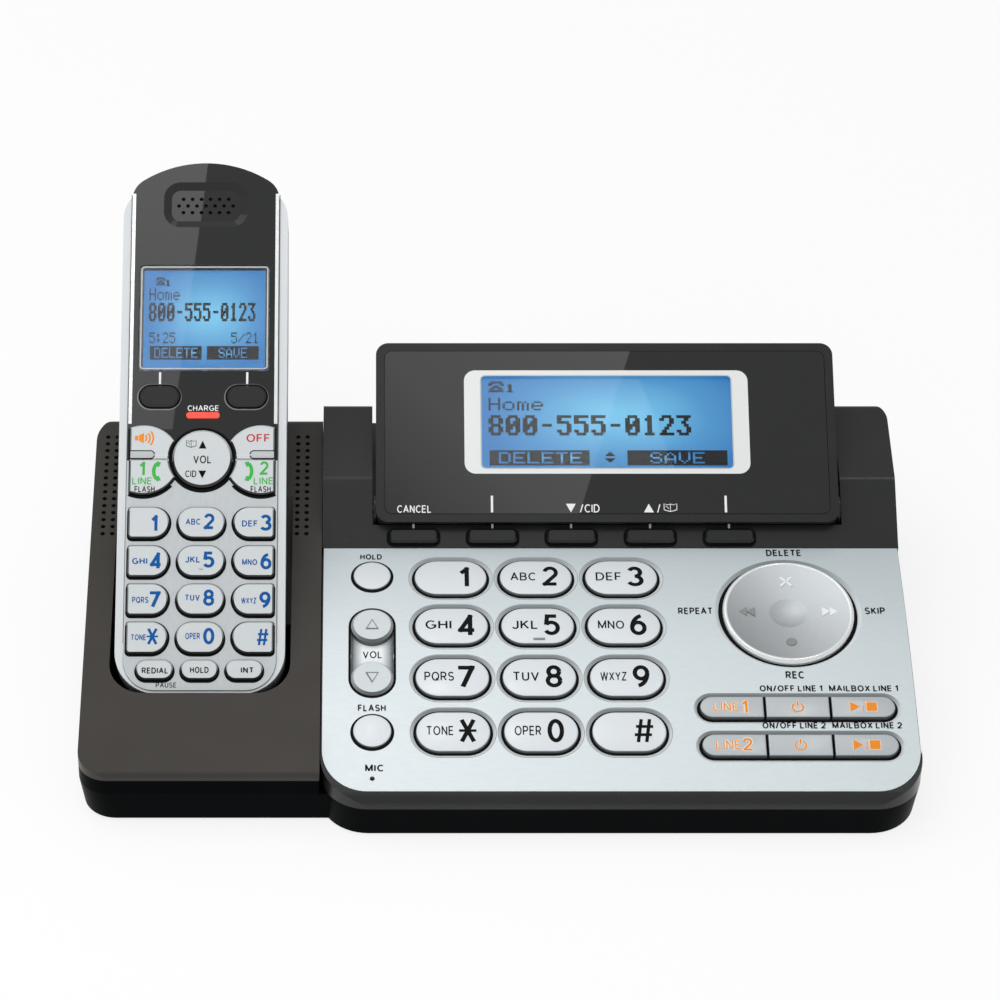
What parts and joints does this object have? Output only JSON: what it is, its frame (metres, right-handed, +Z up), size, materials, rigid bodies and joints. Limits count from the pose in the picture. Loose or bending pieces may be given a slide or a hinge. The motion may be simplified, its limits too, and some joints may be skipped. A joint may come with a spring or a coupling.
{
  "type": "answering machine",
  "caption": "Corded base of a cordless telephone with answering machine: sloping silver key deck, navigation disc, tilting screen, and a handset in a charging cradle.",
  "frame": {"origin": "centre of the footprint's bounding box, on the plane that the feet stand on", "axes": "+X to the right as the user sees it, +Y to the back, +Z up"},
  "size_m": [0.228, 0.1748, 0.1043],
  "materials": {
    "charcoal_plastic": "satin, fine-grained brownish charcoal",
    "lower_plastic": "matt near-black",
    "silver_plate": "brushed silver film, satin",
    "light_key_plastic": "satin light silver",
    "grey_key_plastic": "satin grey",
    "dark_key_plastic": "satin near-black",
    "display_plastic": "glossy charcoal",
    "display_glass": "glossy smoked panel with a clear window",
    "screen_glass": "back-lit blue screen",
    "clear_lens": "clear, polished",
    "handset_black": "satin black",
    "handset_gloss": "high-gloss charcoal",
    "silver_trim": "bright silver",
    "lamp_red": "translucent red",
    "board_green": "solder mask",
    "contact_metal": "bright plated",
    "speaker_body": "dark paper cone in a metal frame",
    "socket_plastic": "matt black",
    "keymat_rubber": "soft grey",
    "foot_rubber": "matt black",
    "screw_steel": "zinc plated",
    "cell_metal": "sleeved rechargeable cells"
  },
  "bodies": {
    "base": {"bottom_cover": "lower_plastic", "console_cover": "charcoal_plastic", "deck_faceplate": "silver_plate", "cradle_cover": "charcoal_plastic", "cradle_contacts": "contact_metal", "speaker": "speaker_body", "jack_block": "socket_plastic", "main_board": "board_green", "base_keymat": "keymat_rubber", "rubber_feet": "foot_rubber", "housing_screws": "screw_steel"},
    "handset": {"handset_back_cover": "handset_black", "handset_side_trim": "silver_trim", "handset_front_cover": "handset_gloss", "handset_keypad_face": "silver_plate", "handset_lens": "clear_lens", "handset_screen": "screen_glass", "handset_board": "board_green", "battery_pack": "cell_metal", "battery_door": "handset_black", "handset_contacts": "contact_metal", "charge_lamp": "lamp_red"},
    "display": {"display_housing": "display_plastic", "display_lens": "display_glass", "display_screen": "screen_glass"},
    "nav_pivot": {"nav_pivot": "socket_plastic"},
    "nav_disc": {"nav_disc": "grey_key_plastic"},
    "volume_rocker": {"volume_rocker": "light_key_plastic"},
    "handset_nav_key": {"handset_nav_key": "light_key_plastic"},
    "speaker_line_key": {"speaker_line_key": "light_key_plastic"},
    "off_line_key": {"off_line_key": "light_key_plastic"},
    "handset_soft_keys": {"handset_soft_keys": "dark_key_plastic"},
    "keypad_column_left": {"keypad_column_left": "light_key_plastic"},
    "keypad_column_middle": {"keypad_column_middle": "light_key_plastic"},
    "keypad_column_right": {"keypad_column_right": "light_key_plastic"},
    "key_1": {"key_1": "light_key_plastic"},
    "key_2": {"key_2": "light_key_plastic"},
    "key_3": {"key_3": "light_key_plastic"},
    "key_4": {"key_4": "light_key_plastic"},
    "key_5": {"key_5": "light_key_plastic"},
    "key_6": {"key_6": "light_key_plastic"},
    "key_7": {"key_7": "light_key_plastic"},
    "key_8": {"key_8": "light_key_plastic"},
    "key_9": {"key_9": "light_key_plastic"},
    "key_star": {"key_star": "light_key_plastic"},
    "key_0": {"key_0": "light_key_plastic"},
    "key_hash": {"key_hash": "light_key_plastic"},
    "hold_key": {"hold_key": "light_key_plastic"},
    "flash_key": {"flash_key": "light_key_plastic"},
    "line_key_1": {"line_key_1": "grey_key_plastic"},
    "on_off_key_1": {"on_off_key_1": "grey_key_plastic"},
    "mailbox_key_1": {"mailbox_key_1": "grey_key_plastic"},
    "line_key_2": {"line_key_2": "grey_key_plastic"},
    "on_off_key_2": {"on_off_key_2": "grey_key_plastic"},
    "mailbox_key_2": {"mailbox_key_2": "grey_key_plastic"},
    "soft_key_1": {"soft_key_1": "dark_key_plastic"},
    "soft_key_2": {"soft_key_2": "dark_key_plastic"},
    "soft_key_3": {"soft_key_3": "dark_key_plastic"},
    "soft_key_4": {"soft_key_4": "dark_key_plastic"},
    "soft_key_5": {"soft_key_5": "dark_key_plastic"}
  },
  "joints": [
    {"name": "handset_lift", "type": "slide", "parent": "base", "child": "handset", "axis": [0, 0.848, 0.5299], "range_m": [0, 0.12]},
    {"name": "display_tilt", "type": "hinge", "parent": "base", "child": "display", "pos_m": [0.03195, 0.00957, 0.03473], "axis": [1, 0, 0], "range_deg": [-20, 15]},
    {"name": "nav_tilt", "type": "hinge", "parent": "base", "child": "nav_pivot", "pos_m": [0.0811, -0.0256, 0.02347], "axis": [1, 0, 0], "range_deg": [-4, 4], "stiffness_Nm_per_rad": 0.4},
    {"name": "nav_roll", "type": "hinge", "parent": "nav_pivot", "child": "nav_disc", "pos_m": [0.0811, -0.0256, 0.02347], "axis": [0, 0.9908, 0.1354], "range_deg": [-4, 4], "stiffness_Nm_per_rad": 0.4},
    {"name": "volume_rock", "type": "hinge", "parent": "base", "child": "volume_rocker", "pos_m": [-0.0345, -0.03958, 0.02247], "axis": [1, 0, 0], "range_deg": [-4, 4], "stiffness_Nm_per_rad": 0.3},
    {"name": "handset_nav_rock", "type": "hinge", "parent": "handset", "child": "handset_nav_key", "pos_m": [-0.0819, 0.00613, 0.05506], "axis": [1, 0, 0], "range_deg": [-4, 4], "stiffness_Nm_per_rad": 0.12},
    {"name": "speaker_line_rock", "type": "hinge", "parent": "handset", "child": "speaker_line_key", "pos_m": [-0.0962, 0.00588, 0.05491], "axis": [1, 0, 0], "range_deg": [-3, 3], "stiffness_Nm_per_rad": 0.15},
    {"name": "off_line_rock", "type": "hinge", "parent": "handset", "child": "off_line_key", "pos_m": [-0.0676, 0.00588, 0.05491], "axis": [1, 0, 0], "range_deg": [-3, 3], "stiffness_Nm_per_rad": 0.15},
    {"name": "handset_soft_press", "type": "slide", "parent": "handset", "child": "handset_soft_keys", "axis": [0, 0.5299, -0.848], "range_m": [0, 0.0006], "stiffness_N_per_m": 400},
    {"name": "column_left_press", "type": "slide", "parent": "handset", "child": "keypad_column_left", "axis": [0, 0.5299, -0.848], "range_m": [0, 0.0006], "stiffness_N_per_m": 400},
    {"name": "column_middle_press", "type": "slide", "parent": "handset", "child": "keypad_column_middle", "axis": [0, 0.5299, -0.848], "range_m": [0, 0.0006], "stiffness_N_per_m": 400},
    {"name": "column_right_press", "type": "slide", "parent": "handset", "child": "keypad_column_right", "axis": [0, 0.5299, -0.848], "range_m": [0, 0.0006], "stiffness_N_per_m": 400},
    {"name": "key_1_press", "type": "slide", "parent": "base", "child": "key_1", "axis": [0, 0.1038, -0.9946], "range_m": [0, 0.0008], "stiffness_N_per_m": 400},
    {"name": "key_2_press", "type": "slide", "parent": "base", "child": "key_2", "axis": [0, 0.1038, -0.9946], "range_m": [0, 0.0008], "stiffness_N_per_m": 400},
    {"name": "key_3_press", "type": "slide", "parent": "base", "child": "key_3", "axis": [0, 0.1038, -0.9946], "range_m": [0, 0.0008], "stiffness_N_per_m": 400},
    {"name": "key_4_press", "type": "slide", "parent": "base", "child": "key_4", "axis": [0, 0.1482, -0.989], "range_m": [0, 0.0008], "stiffness_N_per_m": 400},
    {"name": "key_5_press", "type": "slide", "parent": "base", "child": "key_5", "axis": [0, 0.1482, -0.989], "range_m": [0, 0.0008], "stiffness_N_per_m": 400},
    {"name": "key_6_press", "type": "slide", "parent": "base", "child": "key_6", "axis": [0, 0.1482, -0.989], "range_m": [0, 0.0008], "stiffness_N_per_m": 400},
    {"name": "key_7_press", "type": "slide", "parent": "base", "child": "key_7", "axis": [0, 0.1926, -0.9813], "range_m": [0, 0.0008], "stiffness_N_per_m": 400},
    {"name": "key_8_press", "type": "slide", "parent": "base", "child": "key_8", "axis": [0, 0.1926, -0.9813], "range_m": [0, 0.0008], "stiffness_N_per_m": 400},
    {"name": "key_9_press", "type": "slide", "parent": "base", "child": "key_9", "axis": [0, 0.1926, -0.9813], "range_m": [0, 0.0008], "stiffness_N_per_m": 400},
    {"name": "key_star_press", "type": "slide", "parent": "base", "child": "key_star", "axis": [0, 0.2366, -0.9716], "range_m": [0, 0.0008], "stiffness_N_per_m": 400},
    {"name": "key_0_press", "type": "slide", "parent": "base", "child": "key_0", "axis": [0, 0.2366, -0.9716], "range_m": [0, 0.0008], "stiffness_N_per_m": 400},
    {"name": "key_hash_press", "type": "slide", "parent": "base", "child": "key_hash", "axis": [0, 0.2366, -0.9716], "range_m": [0, 0.0008], "stiffness_N_per_m": 400},
    {"name": "hold_press", "type": "slide", "parent": "base", "child": "hold_key", "axis": [0, 0.102, -0.9948], "range_m": [0, 0.0008], "stiffness_N_per_m": 400},
    {"name": "flash_press", "type": "slide", "parent": "base", "child": "flash_key", "axis": [0, 0.2359, -0.9718], "range_m": [0, 0.0008], "stiffness_N_per_m": 400},
    {"name": "line_1_press", "type": "slide", "parent": "base", "child": "line_key_1", "axis": [0, 0.2174, -0.9761], "range_m": [0, 0.0008], "stiffness_N_per_m": 400},
    {"name": "on_off_1_press", "type": "slide", "parent": "base", "child": "on_off_key_1", "axis": [0, 0.2174, -0.9761], "range_m": [0, 0.0008], "stiffness_N_per_m": 400},
    {"name": "mailbox_1_press", "type": "slide", "parent": "base", "child": "mailbox_key_1", "axis": [0, 0.2174, -0.9761], "range_m": [0, 0.0008], "stiffness_N_per_m": 400},
    {"name": "line_2_press", "type": "slide", "parent": "base", "child": "line_key_2", "axis": [0, 0.2474, -0.9689], "range_m": [0, 0.0008], "stiffness_N_per_m": 400},
    {"name": "on_off_2_press", "type": "slide", "parent": "base", "child": "on_off_key_2", "axis": [0, 0.2474, -0.9689], "range_m": [0, 0.0008], "stiffness_N_per_m": 400},
    {"name": "mailbox_2_press", "type": "slide", "parent": "base", "child": "mailbox_key_2", "axis": [0, 0.2474, -0.9689], "range_m": [0, 0.0008], "stiffness_N_per_m": 400},
    {"name": "soft_1_press", "type": "slide", "parent": "base", "child": "soft_key_1", "axis": [0, 0.5, -0.866], "range_m": [0, 0.0006], "stiffness_N_per_m": 400},
    {"name": "soft_2_press", "type": "slide", "parent": "base", "child": "soft_key_2", "axis": [0, 0.5, -0.866], "range_m": [0, 0.0006], "stiffness_N_per_m": 400},
    {"name": "soft_3_press", "type": "slide", "parent": "base", "child": "soft_key_3", "axis": [0, 0.5, -0.866], "range_m": [0, 0.0006], "stiffness_N_per_m": 400},
    {"name": "soft_4_press", "type": "slide", "parent": "base", "child": "soft_key_4", "axis": [0, 0.5, -0.866], "range_m": [0, 0.0006], "stiffness_N_per_m": 400},
    {"name": "soft_5_press", "type": "slide", "parent": "base", "child": "soft_key_5", "axis": [0, 0.5, -0.866], "range_m": [0, 0.0006], "stiffness_N_per_m": 400}
  ]
}
